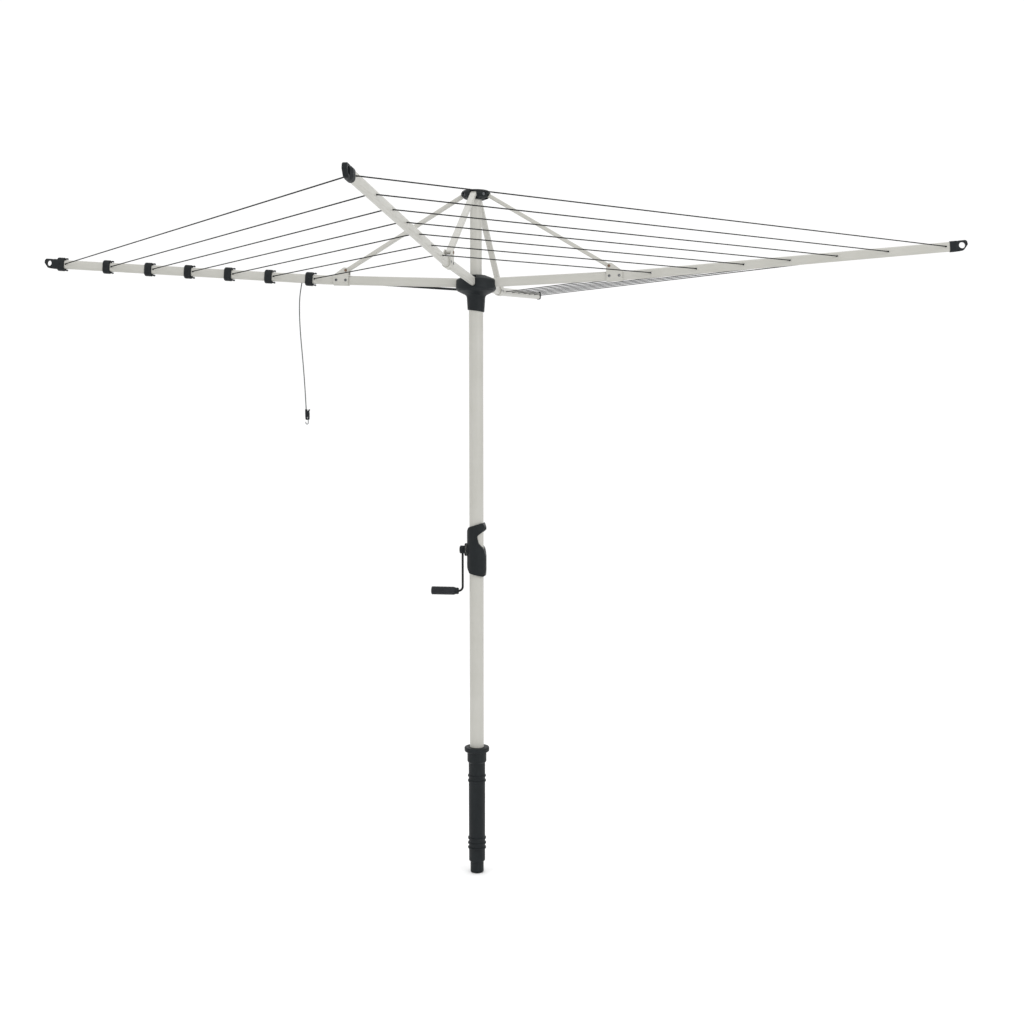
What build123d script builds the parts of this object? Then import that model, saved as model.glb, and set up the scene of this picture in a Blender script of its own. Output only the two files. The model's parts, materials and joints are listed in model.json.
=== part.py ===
from build123d import *
import math
import os

# Rotary clothesline with four folding arms and seven rings of line.
# Frame: +Z runs up the mast axis and z = 0 is ground level, flush with the top of the socket's flange.
# The arms lie along +X (right), +Y (back), -X (left) and -Y (front). All sizes are in millimetres.

# ---- driving dimensions ----------------------------------------------------------------------------
# clearances
running_gap = 0.05          # a shaft that turns or slides in its own hole
seat_gap = 0.1              # a piece that is fixed inside or around another
slot_gap = 0.3              # on each side of a flat piece that turns in a slot
free_gap = 0.5              # two pieces that move past each other without guiding
floor_gap = 1.0             # under the rounded end of an arm or strut that turns in a slot
open_pivot_gap = 0.3        # round the crown's pins, where the linkage is left open
line_meeting_gap = 0.2      # between the two halves of a line where they meet
seam_gap = 0.1              # between the two halves of the winder housing

# mast
mast_radius = 25.0
mast_wall = 1.8
mast_bottom = -395.0
inner_tube_radius = 20.5
inner_tube_wall = 1.5
tube_overlap = 150.0        # how much of the inner tube stays in the mast when it is wound right up

# socket in the ground
flange_thickness = 18.0
collar_bottom = -52.0
barrel_bottom = -414.0
spigot_bottom = -457.0
thrust_pad_thickness = 4.0
foot_flange = 3.0           # rim of the mast's foot plug, between the tube and the thrust pad
socket_ring_heights = (-105.0, -123.0, -332.0, -350.0, -367.0)

# hub, crown and the fold
arm_pivot_radius = 58.0
arm_pivot_height = 1643.0
arm_pin_radius = 4.0
crown_rise = 303.0              # crown's pins above the arms' pivots with the arms spread
crown_pivot_radius = 38.0
crown_pin_radius = 3.0
bracket_pin_distance = 465.0    # from the mast axis to the strut's pin on the arm
bracket_pin_rise = 34.0         # the same pin above the arm's centreline
bracket_pin_radius = 3.0
fold_angle = 83.5               # how far each arm swings up
neck_slant = 8.3                # degrees that the lower end of the hub's neck is cut off at

# arms
arm_reach = 1628.0          # mast axis to the hole in the end cap
left_arm_short = 38.5       # how much the left arm is shorter than the others
arm_height = 32.0
arm_width = 18.0
arm_wall = 1.6
inner_slope = 2.12          # degrees above level, from the hub to the bend
outer_slope = 4.12          # degrees above level, from the bend to the tip
bend_radius_from_axis = 545.0
bend_curve = 300.0
tip_gap = 28.0              # end of the tube to the hole in the end cap

# end caps
cap_wall = 2.2
cap_length = 39.5           # start of the cap to the hole in its loop
cap_shoulder = 20.0         # where the sleeve starts to flatten, before that hole
loop_hole_radius = 10.3
loop_hole_rise = 1.5        # hole above the arm's centreline
loop_thickness = 13.0

# struts and their brackets
strut_width = 21.5
strut_thickness = 13.0
strut_corner = 3.5
strut_wall = 1.5
strut_solid = 14.0          # plugged length at each end
bracket_cheek = 3.1
bracket_start = -10.0       # ends of the bracket along the arm, from its pin
bracket_end = 45.0
rivet_places = (0.0, 34.0)
rivet_radius = 3.0
rivet_head_radius = 4.6
rivet_bore = 2.2

# lines
line_diameter = 4.0
line_rise = 1.0             # above the arm's centreline
line_hole_radius = 3.2
line_straight = 4.0         # how far each line runs straight on past the arm it comes out of
line_knee_round = 8.0
ring_radii = (608.0, 762.0, 920.0, 1073.0, 1227.0, 1392.0, 1576.0)        # where the rings pass through an arm
left_ring_radii = (582.0, 733.0, 884.0, 1035.0, 1186.0, 1346.0, 1523.0)   # the left arm draws them in

# line clips on the left arm
clip_length = 28.0
clip_offset = 20.0          # clip's middle beyond its ring's hole
clip_finger_height = 20.5
clip_finger_reach = 8.0
clip_finger_radius = 3.0

# hanging cord
cord_diameter = 4.2
cord_arm_distance = 630.0

# winder
crank_height = 707.0
crank_throw = 148.0
crank_shaft_radius = 5.0
crank_rod_radius = 3.9
bush_radius = 8.0
washer_radius = 21.0
gear_module = 1.5
pinion_teeth = 16
gear_face = 10.0
gear_backlash = 0.15
pressure_angle = 20.0
grip_radius = 14.5
grip_length = 97.5
ferrule_radius = 11.7
ferrule_length = 12.0
grip_pin_radius = 1.6
rod_groove_radius = 2.8

# ---- sizes worked out from them --------------------------------------------------------------------
centre_up = (Align.CENTER, Align.CENTER, Align.MIN)
arm_angles = {"right": 0, "back": 90, "left": 180, "front": 270}
inner_rad = math.radians(inner_slope)
outer_rad = math.radians(outer_slope)

mast_bore = mast_radius - mast_wall
mast_top = arm_pivot_height + 5.0
inner_tube_bore = inner_tube_radius - inner_tube_wall
socket_floor = mast_bottom - foot_flange - thrust_pad_thickness
flange_radius = mast_radius + 19.4
collar_radius = mast_radius + 9.2
barrel_radius = mast_radius + 4.6
barrel_low_radius = mast_radius + 3.9
socket_ring_radius = mast_radius + 7.6
spigot_radius = mast_radius - 1.1

hub_bottom = arm_pivot_height - 98.5
hub_neck_top = arm_pivot_height - 45.0
hub_seat = mast_top + 4.2
hub_radius = arm_pivot_radius + 12.5
neck_low_radius = mast_radius + 3.5
neck_high_radius = mast_radius + 7.6
hub_screw_radius = 2.0
hub_screw_height = arm_pivot_height - 71.0
hub_head_seat = mast_radius + 3.6
hub_head_radius = 4.0
arm_pin_half = arm_width / 2 + 18.0

crown_pivot_height = arm_pivot_height + crown_rise
crown_bottom = crown_pivot_height - 18.5
crown_top = crown_pivot_height + 10.6
crown_radius = crown_pivot_radius + 13.3
crown_pin_half = strut_width / 2 + 10.0
crown_screw_height = crown_pivot_height - 3.0
crown_screw_radius = 2.0
crown_screw_seat = crown_radius - 6.3
crown_head_radius = 5.0
bracket_half_width = strut_width / 2 + slot_gap + bracket_cheek
bracket_sleeve_height = arm_height + 6.5

left_reach = arm_reach - left_arm_short
clip_height = arm_height + 17.0
clip_width = arm_width + 9.0

housing_radius = mast_radius + 9.5
housing_reach = mast_radius + 10.0
housing_face = -housing_radius - 0.1        # where the friction washer sits
boss_face = -housing_radius - 1.1           # inner face of the crank's flange
crank_rod_offset = mast_radius + 25.0
crank_low = crank_height - crank_throw
grip_start = -crank_rod_offset - 15.0
grip_end = grip_start - grip_length
grip_pin_x = grip_start - 8.0
housing_screw_places = (
    (-mast_radius - 4.5, crank_height - 42.0),
    (-mast_radius - 4.5, crank_height + 48.0),
    (mast_radius + 6.2, crank_height - 52.0),
)

pitch_radius = gear_module * pinion_teeth / 2
rack_tip = pitch_radius - 0.9 * gear_module
rack_root = pitch_radius + 1.15 * gear_module
rack_back = rack_root + 5.3


def arm_height_at(radius):
    """Height of the arm's centreline at this distance from the mast axis."""
    inside = min(radius, bend_radius_from_axis) - arm_pivot_radius
    outside = max(radius - bend_radius_from_axis, 0)
    return arm_pivot_height + inside * math.tan(inner_rad) + outside * math.tan(outer_rad)


def line_height(radius):
    """Height of a ring of line where it passes through an arm."""
    return arm_height_at(radius) + line_rise


def on_arm(radius):
    """Frame on the +X arm's centreline: local X runs outwards along the arm, local Z is up from it."""
    slope = inner_slope if radius < bend_radius_from_axis else outer_slope
    return Pos(radius, 0, arm_height_at(radius)) * Rot(0, -slope, 0)


bracket_frame_radius = bracket_pin_distance + bracket_pin_rise * math.sin(inner_rad)
bracket_pin_height = arm_height_at(bracket_frame_radius) + bracket_pin_rise * math.cos(inner_rad)
strut_run = bracket_pin_distance - crown_pivot_radius
strut_length = math.hypot(strut_run, crown_pivot_height - bracket_pin_height)
strut_angle = math.degrees(math.atan2(crown_pivot_height - bracket_pin_height, -strut_run))

# where the fold ends: the bracket pin swings about the arm's pivot and the strut stands on it
pin_arm = math.hypot(bracket_pin_distance - arm_pivot_radius, bracket_pin_height - arm_pivot_height)
pin_angle = math.atan2(bracket_pin_height - arm_pivot_height, bracket_pin_distance - arm_pivot_radius)
folded_pin_x = arm_pivot_radius + pin_arm * math.cos(pin_angle + math.radians(fold_angle))
folded_pin_z = arm_pivot_height + pin_arm * math.sin(pin_angle + math.radians(fold_angle))
folded_crown_z = folded_pin_z + math.sqrt(strut_length**2 - (folded_pin_x - crown_pivot_radius) ** 2)
lift_travel = folded_crown_z - crown_pivot_height
folded_strut_angle = math.degrees(
    math.atan2(folded_crown_z - folded_pin_z, crown_pivot_radius - folded_pin_x)
)
inner_tube_bottom = mast_top - lift_travel - tube_overlap
rack_top = inner_tube_bottom - 6.0


# ---- helpers ---------------------------------------------------------------------------------------
def save(shape, name):
    """Write one node."""
    shape.label = name
    export_step(shape, f"parts/{name}.step")


def group(shapes):
    """Separate solids that share one node."""
    return Compound(children=[s for shape in shapes for s in shape.solids()])


def turned(points, radii):
    """Solid of revolution about Z from (radius, height) corners, each corner rounded by its radius."""
    outline = FilletPolyline(*points, radius=radii, close=True)
    return revolve(Plane.XZ * make_face(outline), axis=Axis.Z)


def rod_x(radius, x0, x1, y=0.0, z=0.0):
    """Cylinder along X."""
    return Pos((x0 + x1) / 2, y, z) * Rot(0, 90, 0) * Cylinder(radius, abs(x1 - x0))


def rod_y(radius, y0, y1, x=0.0, z=0.0):
    """Cylinder along Y."""
    return Pos(x, (y0 + y1) / 2, z) * Rot(90, 0, 0) * Cylinder(radius, abs(y1 - y0))


def rod_z(radius, z0, z1):
    """Cylinder along Z on the mast axis."""
    return Pos(0, 0, (z0 + z1) / 2) * Cylinder(radius, abs(z1 - z0))


def rod_out(radius, start, length):
    """Cylinder along X that begins this far from the origin, to be turned round the mast."""
    return Pos(start, 0, 0) * Rot(0, 90, 0) * Cylinder(radius, length, align=centre_up)


def oval_bar(length, tall, wide):
    """Flat-oval bar from the origin along +X, its long side upright."""
    return extrude(Plane.YZ * SlotOverall(tall, wide, rotation=90), length)


def arm_passage(length):
    """Room for the arm in a piece that is fitted round it, centred on the origin."""
    return Pos(-length / 2, 0, 0) * oval_bar(length, arm_height + 2 * seat_gap, arm_width + 2 * seat_gap)


def block(x0, x1, y0, y1, z0, z1):
    """Box between two corners."""
    return Pos((x0 + x1) / 2, (y0 + y1) / 2, (z0 + z1) / 2) * Box(x1 - x0, y1 - y0, z1 - z0)


def around(shape, angle):
    """Turn a piece made for the +X arm to another arm."""
    return Rot(0, 0, angle) * shape


def round_wire(path, radius):
    """Round bar along a path."""
    return sweep(Plane(path @ 0, z_dir=path % 0) * Circle(radius), path=path)


# ---- socket ----------------------------------------------------------------------------------------
def make_ground_socket():
    """Flange, collar and ringed barrel that go into the ground, bored for the mast."""
    outer = turned(
        [
            (0, 0), (flange_radius, 0), (flange_radius, -flange_thickness),
            (collar_radius, -flange_thickness), (collar_radius, collar_bottom),
            (barrel_radius, collar_bottom - 6), (barrel_low_radius, barrel_bottom),
            (spigot_radius, barrel_bottom - 4), (spigot_radius, spigot_bottom), (0, spigot_bottom),
        ],
        [0, 4, 6, 3, 3, 3, 2, 1, 3, 0],
    )
    for height in socket_ring_heights:
        outer += turned(
            [
                (barrel_low_radius - 1, height - 4), (socket_ring_radius, height - 2.5),
                (socket_ring_radius, height + 2.5), (barrel_low_radius - 1, height + 4),
            ],
            [0, 1.5, 1.5, 0],
        )
    bore = rod_z(mast_radius + running_gap, socket_floor, 10)
    drain = rod_z(6, spigot_bottom - 5, 0)
    return outer - bore - drain


def make_thrust_pad():
    """Washer that the mast's foot turns on."""
    pad = rod_z(mast_radius - free_gap, socket_floor, socket_floor + thrust_pad_thickness)
    return pad - rod_z(8, socket_floor - 5, mast_bottom)


# ---- mast ------------------------------------------------------------------------------------------
def hub_screw_places():
    """Frames on the mast axis whose X points out along each hub screw, both on the back of the neck."""
    return [Pos(0, 0, hub_screw_height) * Rot(0, 0, angle) for angle in (55, 125)]


def make_mast_tube():
    """Lower tube, with holes for the crank shaft's bushes and the hub's screws."""
    tube = rod_z(mast_radius, mast_bottom, mast_top) - rod_z(mast_bore, mast_bottom - 1, mast_top + 1)
    tube -= rod_x(bush_radius + running_gap, -2 * mast_radius, 2 * mast_radius, z=crank_height)
    for screw in hub_screw_places():
        tube -= screw * rod_out(hub_screw_radius + running_gap, 0, 2 * mast_radius)
    return tube


def make_mast_foot():
    """Plug in the bottom of the mast, with the flange that rests on the thrust pad."""
    plug = rod_z(mast_bore - seat_gap, mast_bottom, mast_bottom + 40)
    plug += rod_z(mast_radius - free_gap, mast_bottom - foot_flange, mast_bottom)
    return plug - rod_z(mast_bore - 4, mast_bottom + 6, mast_bottom + 41)


def hub_blank():
    """The hub before its slots are cut: a round head on a neck that is cut off at a slant."""
    low, pivot = hub_bottom - 14, arm_pivot_height
    body = turned(
        [
            (mast_radius + seat_gap, low), (neck_low_radius, low), (neck_high_radius, hub_neck_top),
            (hub_radius - 6.5, pivot - 30), (hub_radius, pivot - 22), (hub_radius - 1.5, pivot + 9),
            (arm_pivot_radius, pivot + 15.5), (mast_radius + 9, pivot + 25),
            (inner_tube_radius + free_gap, pivot + 26), (inner_tube_radius + free_gap, hub_seat),
            (mast_radius + seat_gap, hub_seat),
        ],
        [0, 1, 14, 8, 6, 7, 6, 2, 1, 0, 0],
    )
    body -= Pos(0, 0, hub_bottom) * Rot(0, neck_slant, 0) * Pos(0, 0, -50) * Box(160, 160, 100)
    rim = body.faces().sort_by(Axis.Z)[0].outer_wire().edges()
    return fillet(rim, 2.4)


def make_arm_hub():
    """Slotted head that carries the arms."""
    body = hub_blank()
    slot_floor = arm_pivot_height - arm_height / 2 - floor_gap
    slot_back = arm_pivot_radius - arm_height / 2 - 1.5 * floor_gap
    half = arm_width / 2 + slot_gap
    floor_round = arm_width / 2
    low = slot_floor + floor_round
    top, out = arm_pivot_height + 60, hub_radius + 30
    for angle in arm_angles.values():
        opening = block(slot_back, out, -half, half, low, top)
        opening += block(slot_back, out, -slot_gap, slot_gap, slot_floor, top)
        for side in (-1, 1):
            opening += rod_x(floor_round, slot_back, out, y=side * slot_gap, z=low)
        body -= around(opening, angle)
        hole = rod_y(
            arm_pin_radius + running_gap, -arm_pin_half - running_gap, hub_radius, arm_pivot_radius, arm_pivot_height
        )
        body -= around(hole, angle)
    for screw in hub_screw_places():
        body -= screw * rod_out(hub_screw_radius + running_gap, 0, 80)
        body -= screw * rod_out(hub_head_radius + slot_gap, hub_head_seat, 20)
    return body


def make_pin_plugs():
    """Four plugs that close the mouths of the hub's pin holes, flush with its outside."""
    blank = hub_blank()
    plug = rod_y(arm_pin_radius, arm_pin_half, hub_radius, arm_pivot_radius, arm_pivot_height)
    return group([around(plug, angle) & blank for angle in arm_angles.values()])


def headed_screw(radius, start, seat, head_radius, head_height):
    """Socket-head screw along X, its head outside the seat."""
    screw = rod_out(radius, start, seat - start) + rod_out(head_radius, seat, head_height)
    socket = Pos(seat + head_height / 2, 0, 0) * Rot(0, 90, 0) * extrude(RegularPolygon(head_radius / 2, 6), 3)
    return screw - socket


def make_hub_screws():
    """Two self-tapping screws that hold the hub's neck to the mast."""
    start = inner_tube_radius + 1.2
    screw = headed_screw(hub_screw_radius, start, hub_head_seat, hub_head_radius, 2.6)
    return group([place * screw for place in hub_screw_places()])


def make_arm_pivot_pins():
    """Four steel pins in the hub, one through the foot of each arm."""
    pin = chamfer(
        rod_y(arm_pin_radius, -arm_pin_half, arm_pin_half, arm_pivot_radius, arm_pivot_height).edges(), 0.6
    )
    return group([around(pin, angle) for angle in arm_angles.values()])


def make_top_bush():
    """Flanged plastic bush that guides the inner tube at the top of the mast."""
    sleeve = rod_z(mast_bore - running_gap, mast_top - 58, mast_top)
    rim = rod_z(mast_radius - slot_gap, mast_top, mast_top + 4)
    return sleeve + rim - rod_z(inner_tube_radius + running_gap, mast_top - 60, mast_top + 5)


# ---- winder ----------------------------------------------------------------------------------------
def housing_outline():
    """Side view of the winder housing: slanted ends and a hand-sized notch on the right."""
    reach = housing_reach
    corners = [
        (10 - reach, 81), (reach - 9, 97), (reach + 2, 74), (reach - 28, 50), (reach - 23, 25),
        (reach - 6, 4), (reach + 1.5, -30), (reach + 0.5, -67), (reach - 4, -95),
        (13 - reach, -82), (2.5 - reach, -62), (-reach, -17), (-reach, 63),
    ]
    radii = [9, 5, 6, 9, 22, 26, 24, 20, 5, 6, 14, 40, 14]
    return Pos(0, crank_height) * make_face(FilletPolyline(*corners, radius=radii, close=True))


def make_housing(side):
    """One half of the winder housing: side is -1 for the front shell and 1 for the rear one."""
    shell = extrude(Plane.XZ * housing_outline(), 60, both=True)
    shell &= Pos(1.0, 0, crank_height) * Cylinder(housing_radius, 260)
    shell = fillet(shell.edges(), 2.5)
    shell += rod_x(washer_radius + 1, housing_face, 5 - mast_radius, z=crank_height)
    shell -= rod_z(mast_radius + seat_gap, crank_height - 150, crank_height + 150)
    shell -= rod_x(bush_radius + seat_gap, -2 * housing_radius, mast_radius + 2.3, z=crank_height)
    near, far = sorted((side * seam_gap / 2, side * 80))
    shell &= block(-80, 80, near, far, crank_height - 150, crank_height + 150)
    for x, z in housing_screw_places:
        shell -= rod_y(1.6 + running_gap, -14, 20, x, z)
        shell -= rod_y(3.4, 9, 60, x, z)
    return shell


def make_housing_screws():
    """Screws that pull the two halves of the housing together, their heads sunk in the rear half."""
    screws = []
    for x, z in housing_screw_places:
        screw = rod_y(1.6, -12, 9, x, z) + rod_y(3.0, 9, 11.2, x, z)
        screw -= block(x - 2.2, x + 2.2, 10.4, 12, z - 0.4, z + 0.4)
        screws.append(screw)
    return group(screws)


def make_crank_bushes():
    """Two bearing bushes in the mast's walls, one on each side of the pinion."""
    inner_end = mast_bore - 1.2
    long_bush = rod_x(bush_radius, 1.5 - housing_radius, -inner_end, z=crank_height)
    short_bush = rod_x(bush_radius, inner_end, mast_radius + 2, z=crank_height)
    bore = rod_x(crank_shaft_radius + running_gap, -2 * mast_radius, 2 * mast_radius, z=crank_height)
    return group([long_bush - bore, short_bush - bore])


def make_brake_washer():
    """Friction washer that holds the crank where it is left."""
    washer = rod_x(washer_radius, boss_face + running_gap, housing_face, z=crank_height)
    return washer - rod_x(bush_radius + free_gap, -2 * mast_radius, 0, z=crank_height)


def make_crank_shaft():
    """Shaft through the mast that carries the pinion."""
    shaft = rod_x(crank_shaft_radius, 5 - crank_rod_offset, mast_radius + 1.5, z=crank_height)
    return chamfer(shaft.edges(), 0.5)


def involute_point(base, radius, offset, side):
    """Point of an involute flank at this radius; offset turns the flank about the gear's centre."""
    roll = math.sqrt(max((radius / base) ** 2 - 1, 0))
    angle = side * (offset - (roll - math.atan(roll)))
    return radius * math.cos(angle), radius * math.sin(angle)


def make_drive_pinion():
    """Spur pinion on the crank shaft. One tooth points along +Y, into a gap of the rack."""
    pressure = math.radians(pressure_angle)
    base = pitch_radius * math.cos(pressure)
    root = pitch_radius - 1.15 * gear_module
    tip = pitch_radius + 0.9 * gear_module
    half_tooth = (math.pi * gear_module - gear_backlash) / (4 * pitch_radius)
    offset = half_tooth + math.tan(pressure) - pressure
    radii = [base + (tip - base) * step / 4 for step in range(5)]
    outline = []
    for tooth in range(pinion_teeth):
        turn = 2 * math.pi * tooth / pinion_teeth
        flank = [(root * math.cos(offset), -root * math.sin(offset))]
        flank += [involute_point(base, r, offset, -1) for r in radii]
        flank += [involute_point(base, r, offset, 1) for r in reversed(radii)]
        flank += [(root * math.cos(offset), root * math.sin(offset))]
        for y, z in flank:
            outline.append((y * math.cos(turn) - z * math.sin(turn), y * math.sin(turn) + z * math.cos(turn)))
    face = make_face(Polyline(*outline, close=True))
    gear = Pos(-gear_face / 2, 0, crank_height) * extrude(Plane.YZ * face, gear_face)
    return gear - rod_x(crank_shaft_radius, -20, 20, z=crank_height)


def make_crank_boss():
    """Plastic boss and flange on the outside of the housing, which hold the crank rod."""
    face = -boss_face
    profile = FilletPolyline(
        (0, face), (washer_radius + 2, face), (washer_radius + 2, face + 5.4), (13, face + 6.2),
        (13, face + 8.5), (14.2, face + 10), (14.2, face + 24), (0, face + 24.5),
        radius=[0, 1, 2.4, 1.5, 1, 1, 4, 0], close=True,
    )
    boss = revolve(Plane.XZ * make_face(profile), axis=Axis.Z)
    boss = Pos(0, 0, crank_height) * Rot(0, -90, 0) * boss
    boss -= rod_x(crank_shaft_radius, 5 - crank_rod_offset, 0, z=crank_height)
    rod_hole = Pos(-crank_rod_offset, 0, crank_height + 7) * Rot(180, 0, 0)
    return boss - rod_hole * Cylinder(crank_rod_radius + running_gap, 60, align=centre_up)


def make_crank_rod():
    """Bent steel rod from the boss to the end of the grip, with a groove that the grip's pin runs in."""
    x = -crank_rod_offset
    path = FilletPolyline((x, 0, crank_height + 6), (x, 0, crank_low), (grip_end + 6, 0, crank_low), radius=16)
    half = grip_pin_radius + seat_gap
    near, far = grip_pin_x - half, grip_pin_x + half
    groove = rod_x(crank_rod_radius + 1, near, far, z=crank_low) - rod_x(rod_groove_radius, near, far, z=crank_low)
    return round_wire(path, crank_rod_radius) - groove


def grip_axis():
    """Frame at the inner end of the grip whose Z runs outwards along it."""
    return Pos(grip_start, 0, crank_low) * Rot(0, -90, 0)


def grip_pin_bar(extra):
    """Cross pin that runs in the rod's groove and keeps the grip on, thickened by extra."""
    depth = rod_groove_radius + grip_pin_radius + seat_gap
    half = ferrule_radius - 1.8
    return rod_y(grip_pin_radius + extra, -half, half, grip_pin_x, crank_low - depth)


def make_grip_ferrule():
    """Stepped collar at the inner end of the grip."""
    wide = ferrule_radius
    collar = turned(
        [(0, 0), (wide - 1.2, 0), (wide, 3), (wide, ferrule_length), (0, ferrule_length)], [0, 1.5, 2, 0.4, 0]
    )
    collar -= Pos(0, 0, -1) * Cylinder(crank_rod_radius + running_gap, 40, align=centre_up)
    return grip_axis() * collar - grip_pin_bar(seat_gap)


def make_grip_pin():
    """Bright cross pin in the ferrule."""
    return chamfer(grip_pin_bar(0).edges(), 0.3)


def make_crank_grip():
    """Handle that spins on the rod: a soft barrel with shallow rings."""
    barrel = turned(
        [
            (0, ferrule_length), (grip_radius - 1.4, ferrule_length), (grip_radius, ferrule_length + 8),
            (grip_radius, grip_length), (0, grip_length),
        ],
        [0, 1.5, 6, 3, 0],
    )
    for step in range(5):
        barrel -= Pos(0, 0, ferrule_length + 16 + 13 * step) * Torus(grip_radius + 0.6, 1.2)
    barrel -= Cylinder(crank_rod_radius + running_gap, grip_length - 4, align=centre_up)
    return grip_axis() * barrel


# ---- lift ------------------------------------------------------------------------------------------
def crown_screw_frames():
    """Frames on the mast axis whose X points out between two struts, at the crown screws' height."""
    return [Pos(0, 0, crown_screw_height) * Rot(0, 0, angle + 45) for angle in arm_angles.values()]


def make_inner_tube():
    """Upper tube that slides up out of the mast."""
    top = crown_pivot_height + 2
    tube = rod_z(inner_tube_radius, inner_tube_bottom, top) - rod_z(inner_tube_bore, inner_tube_bottom - 1, top + 1)
    for frame in crown_screw_frames():
        tube -= frame * rod_out(crown_screw_radius + running_gap, 5, 30)
    return tube


def make_carrier_plug():
    """Plug in the inner tube's lower end: it slides in the mast and holds the rack."""
    plug = rod_z(mast_bore - 2 * running_gap, inner_tube_bottom - 22, inner_tube_bottom)
    plug += rod_z(inner_tube_bore - seat_gap, inner_tube_bottom, inner_tube_bottom + 30)
    half = gear_face / 2 + running_gap
    pocket = block(
        -half, half, rack_tip - seat_gap, rack_back + running_gap, inner_tube_bottom - 30, rack_top + seat_gap
    )
    return plug - pocket


def make_lift_rack():
    """Toothed bar below the carrier, in mesh with the pinion over the whole lift."""
    pitch = math.pi * gear_module
    slope = math.tan(math.radians(pressure_angle))
    half_gap = (pitch + gear_backlash) / 4
    gaps = int((lift_travel + 40) / pitch)
    first = crank_height + 4 * pitch
    outline = [(rack_back, rack_top), (rack_tip, rack_top)]
    wide = half_gap + (pitch_radius - rack_tip) * slope
    narrow = half_gap - (rack_root - pitch_radius) * slope
    for number in range(gaps):
        z = first - number * pitch
        outline += [(rack_tip, z + wide), (rack_root, z + narrow), (rack_root, z - narrow), (rack_tip, z - wide)]
    bottom = first - gaps * pitch
    outline += [(rack_tip, bottom), (rack_back, bottom)]
    face = make_face(Polyline(*outline, close=True))
    return Pos(-gear_face / 2, 0, 0) * extrude(Plane.YZ * face, gear_face)


def make_crown():
    """Slotted head on the inner tube that the struts hang from; its pins lie in channels open at the top."""
    pivot = crown_pivot_height
    body = turned(
        [
            (0, crown_bottom), (29, crown_bottom), (crown_radius - 8, pivot - 13), (crown_radius, pivot - 4),
            (crown_radius, pivot + 4), (crown_radius - 4.8, crown_top), (0, crown_top),
        ],
        [0, 3, 5, 5, 4, 1.5, 0],
    )
    body -= rod_z(inner_tube_radius + seat_gap, crown_bottom - 5, pivot + 2.2)
    half = strut_width / 2 + 0.4
    reach = strut_thickness / 2 + floor_gap
    near = crown_pivot_radius
    pin_half = crown_pin_half + running_gap
    pin_radius = crown_pin_radius + running_gap
    for angle in arm_angles.values():
        opening = block(near, 2 * near, -half, half, crown_bottom - 5, pivot + reach)
        opening += block(near - reach, 2 * near, -half, half, crown_bottom - 5, pivot)
        opening += rod_y(reach, -half, half, near, pivot)
        opening += block(near - pin_radius, near + pin_radius, -pin_half, pin_half, pivot, crown_top + 5)
        opening += rod_y(pin_radius, -pin_half, pin_half, near, pivot)
        body -= around(opening, angle)
    for frame in crown_screw_frames():
        body -= frame * rod_out(crown_screw_radius + running_gap, 0, 80)
        body -= frame * rod_out(crown_head_radius + 2, crown_screw_seat, 30)
    return body


def make_crown_cap():
    """Thin lid on the crown, with eight tongues that hold the strut pins down in their channels."""
    lid = turned([(0, crown_top), (45, crown_top), (45, crown_top + 1.2), (0, crown_top + 3)], [0, 0.4, 0.8, 0])
    inner = strut_width / 2 + 0.8
    outer = crown_pin_half - seat_gap
    half = crown_pin_radius - seat_gap
    low = crown_pivot_height + crown_pin_radius + seat_gap
    for angle in arm_angles.values():
        for near, far in ((-outer, -inner), (inner, outer)):
            tongue = block(crown_pivot_radius - half, crown_pivot_radius + half, near, far, low, crown_top + 0.5)
            lid += around(tongue, angle)
    return lid


def make_crown_pins():
    """Four pins in the crown, one through the top of each strut."""
    pin = rod_y(crown_pin_radius, -crown_pin_half, crown_pin_half, crown_pivot_radius, crown_pivot_height)
    pin = chamfer(pin.edges(), 0.5)
    return group([around(pin, angle) for angle in arm_angles.values()])


def make_crown_screws():
    """Four screws that hold the crown to the inner tube."""
    screw = headed_screw(crown_screw_radius, inner_tube_bore + 0.3, crown_screw_seat, crown_head_radius, 3.0)
    return group([frame * screw for frame in crown_screw_frames()])


# ---- arms ------------------------------------------------------------------------------------------
def make_arm_tube(radii, end):
    """Flat-oval tube with a solid rounded foot, bent up a little outside the bracket."""
    pivot = on_arm(arm_pivot_radius)
    bend = (bend_radius_from_axis, 0, arm_height_at(bend_radius_from_axis))
    tip = (end, 0, arm_height_at(end))
    bore_start = (pivot * Pos(arm_height / 2 + 2, 0, 0)).position
    outer_path = FilletPolyline(pivot.position, bend, tip, radius=bend_curve)
    bore_path = FilletPolyline(bore_start, bend, tip, radius=bend_curve)
    outer_start = Plane(outer_path @ 0, x_dir=(0, 1, 0), z_dir=outer_path % 0)
    bore_plane = Plane(bore_path @ 0, x_dir=(0, 1, 0), z_dir=bore_path % 0)
    tube = sweep(outer_start * SlotOverall(arm_height, arm_width, rotation=90), path=outer_path)
    lower_half = SlotOverall(arm_height, arm_width, rotation=90) & Pos(0, -arm_height / 2) * Rectangle(
        2 * arm_width, arm_height
    )
    tube += pivot * revolve(Plane.YZ * lower_half, axis=Axis.Y, revolution_arc=180)
    inside = SlotOverall(arm_height - 2 * arm_wall, arm_width - 2 * arm_wall, rotation=90)
    tube -= sweep(bore_plane * inside, path=bore_path)
    tube -= pivot * rod_y(arm_pin_radius + running_gap, -arm_width, arm_width)
    for radius in radii:
        tube -= Pos(radius, 0, line_height(radius)) * rod_y(line_hole_radius, -arm_width, arm_width)
    for place in rivet_places:
        tube -= bracket_frame() * rod_y(rivet_radius + running_gap, -arm_width, arm_width, place, 0)
    return tube


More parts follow.
